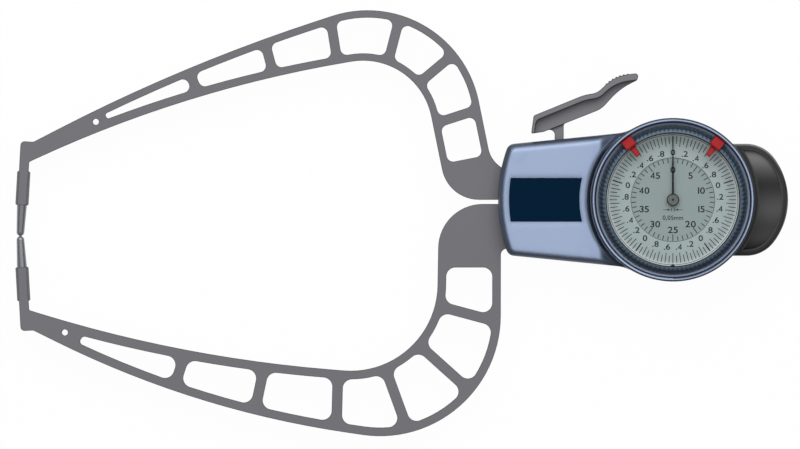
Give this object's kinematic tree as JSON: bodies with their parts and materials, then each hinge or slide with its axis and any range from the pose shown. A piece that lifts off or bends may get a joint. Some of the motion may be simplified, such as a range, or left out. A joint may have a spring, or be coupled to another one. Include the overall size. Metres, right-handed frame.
{
  "type": "dial caliper gauge",
  "caption": "Outside dial caliper with two long windowed arms, round contact tips, a finger lever, a rotating bezel with limit markers and a palm rest.",
  "frame": {"origin": "on the flat back, where the axis of the dial's hands meets it", "axes": "+X along the arms away from their tips, towards the palm rest; +Y across, towards the finger lever; +Z out of the dial"},
  "size_m": [0.3091, 0.1705, 0.0267],
  "materials": {
    "housing_paint": "satin enamel",
    "back_cover": "satin enamel",
    "name_panel": "satin, dark navy",
    "arm_anodised": "fine matt, anodised",
    "lever_anodised": "fine matt, anodised",
    "tip_steel": "ground",
    "palm_rest": "moulded, lightly glossy",
    "bare_aluminium": "milled",
    "steel": "ground",
    "brass": "brushed",
    "bronze": "turned",
    "rubber": "matt",
    "bezel_metal": "light grey blue, satin",
    "matte_ring": "matt",
    "dial": "matt, grey green",
    "hand_black": "matt",
    "hand_cap": "satin",
    "crystal": "clear",
    "marker_red": "moulded"
  },
  "bodies": {
    "frame": {"rear_cover": "back_cover", "front_housing": "housing_paint", "housing_gasket": "rubber", "cover_screws": "steel", "name_panel": "name_panel", "palm_rest": "palm_rest", "palm_rest_screws": "steel", "frame_plate": "bare_aluminium", "frame_screws": "steel", "fixed_arm": "arm_anodised", "fixed_arm_screws": "steel", "fixed_arm_dowels": "steel", "fixed_tip": "tip_steel", "pivot_pin": "steel", "pivot_bridge": "bare_aluminium", "bridge_pillars": "brass", "bridge_screws": "steel", "spring_anchor": "steel", "return_spring": "steel", "opening_stop": "steel", "movement_plate": "brass", "movement_pillars": "brass", "movement_screws": "steel", "arbor_bushes": "bronze", "hairspring": "steel", "hairspring_stud": "brass", "bezel_seal": "rubber"},
    "moving_arm": {"moving_arm": "arm_anodised", "moving_tip": "tip_steel", "hub_bush_lower": "bronze", "hub_bush_upper": "bronze", "finger_lever": "lever_anodised", "lever_screws": "steel", "gear_sector": "brass", "sector_screws": "steel"},
    "first_arbor": {"first_arbor": "steel", "first_wheel": "brass", "hour_drive_wheel": "brass"},
    "long_hand": {"centre_arbor": "steel", "long_hand": "hand_black", "hand_cap": "hand_cap"},
    "short_hand": {"hour_wheel": "brass", "short_hand": "hand_black"},
    "bezel": {"bezel": "bezel_metal", "bezel_snap_ring": "steel", "dial_plate": "dial", "dial_retainer": "matte_ring", "crystal_seal": "rubber", "crystal": "crystal"},
    "marker_left": {"limit_marker_left": "marker_red"},
    "marker_right": {"limit_marker_right": "marker_red"}
  },
  "joints": [
    {"name": "arm_swing", "type": "hinge", "parent": "frame", "child": "moving_arm", "pos_m": [-0.0531, -0.0008, 0.01], "axis": [0, 0, -1], "range_deg": [0, 13.78], "stiffness_Nm_per_rad": 0.69, "springref_deg": -19.02, "deforming": ["return_spring"]},
    {"name": "first_arbor_spin", "type": "hinge", "parent": "frame", "child": "first_arbor", "pos_m": [-0.0075, -0.01299, 0.01], "axis": [0, 0, -1], "range_deg": [-258.14, 1], "deforming": ["hairspring"]},
    {"name": "long_hand_spin", "type": "hinge", "parent": "frame", "child": "long_hand", "pos_m": [0, 0, 0.0213], "axis": [0, 0, -1], "range_deg": [-5, 3605]},
    {"name": "short_hand_spin", "type": "hinge", "parent": "frame", "child": "short_hand", "pos_m": [0, 0, 0.0203], "axis": [0, 0, -1], "range_deg": [-2, 362]},
    {"name": "bezel_turn", "type": "hinge", "parent": "frame", "child": "bezel", "pos_m": [0, 0, 0.022], "axis": [0, 0, -1], "continuous": true},
    {"name": "marker_left_slide", "type": "hinge", "parent": "bezel", "child": "marker_left", "pos_m": [0, 0, 0.025], "axis": [0, 0, -1], "range_deg": [-130, 30]},
    {"name": "marker_right_slide", "type": "hinge", "parent": "bezel", "child": "marker_right", "pos_m": [0, 0, 0.025], "axis": [0, 0, -1], "range_deg": [-30, 130]}
  ],
  "couplings": [
    {"joint": "first_arbor_spin", "follows": "arm_swing", "ratio": -18.667},
    {"joint": "long_hand_spin", "follows": "arm_swing", "ratio": 261.33},
    {"joint": "short_hand_spin", "follows": "arm_swing", "ratio": 26.133}
  ]
}
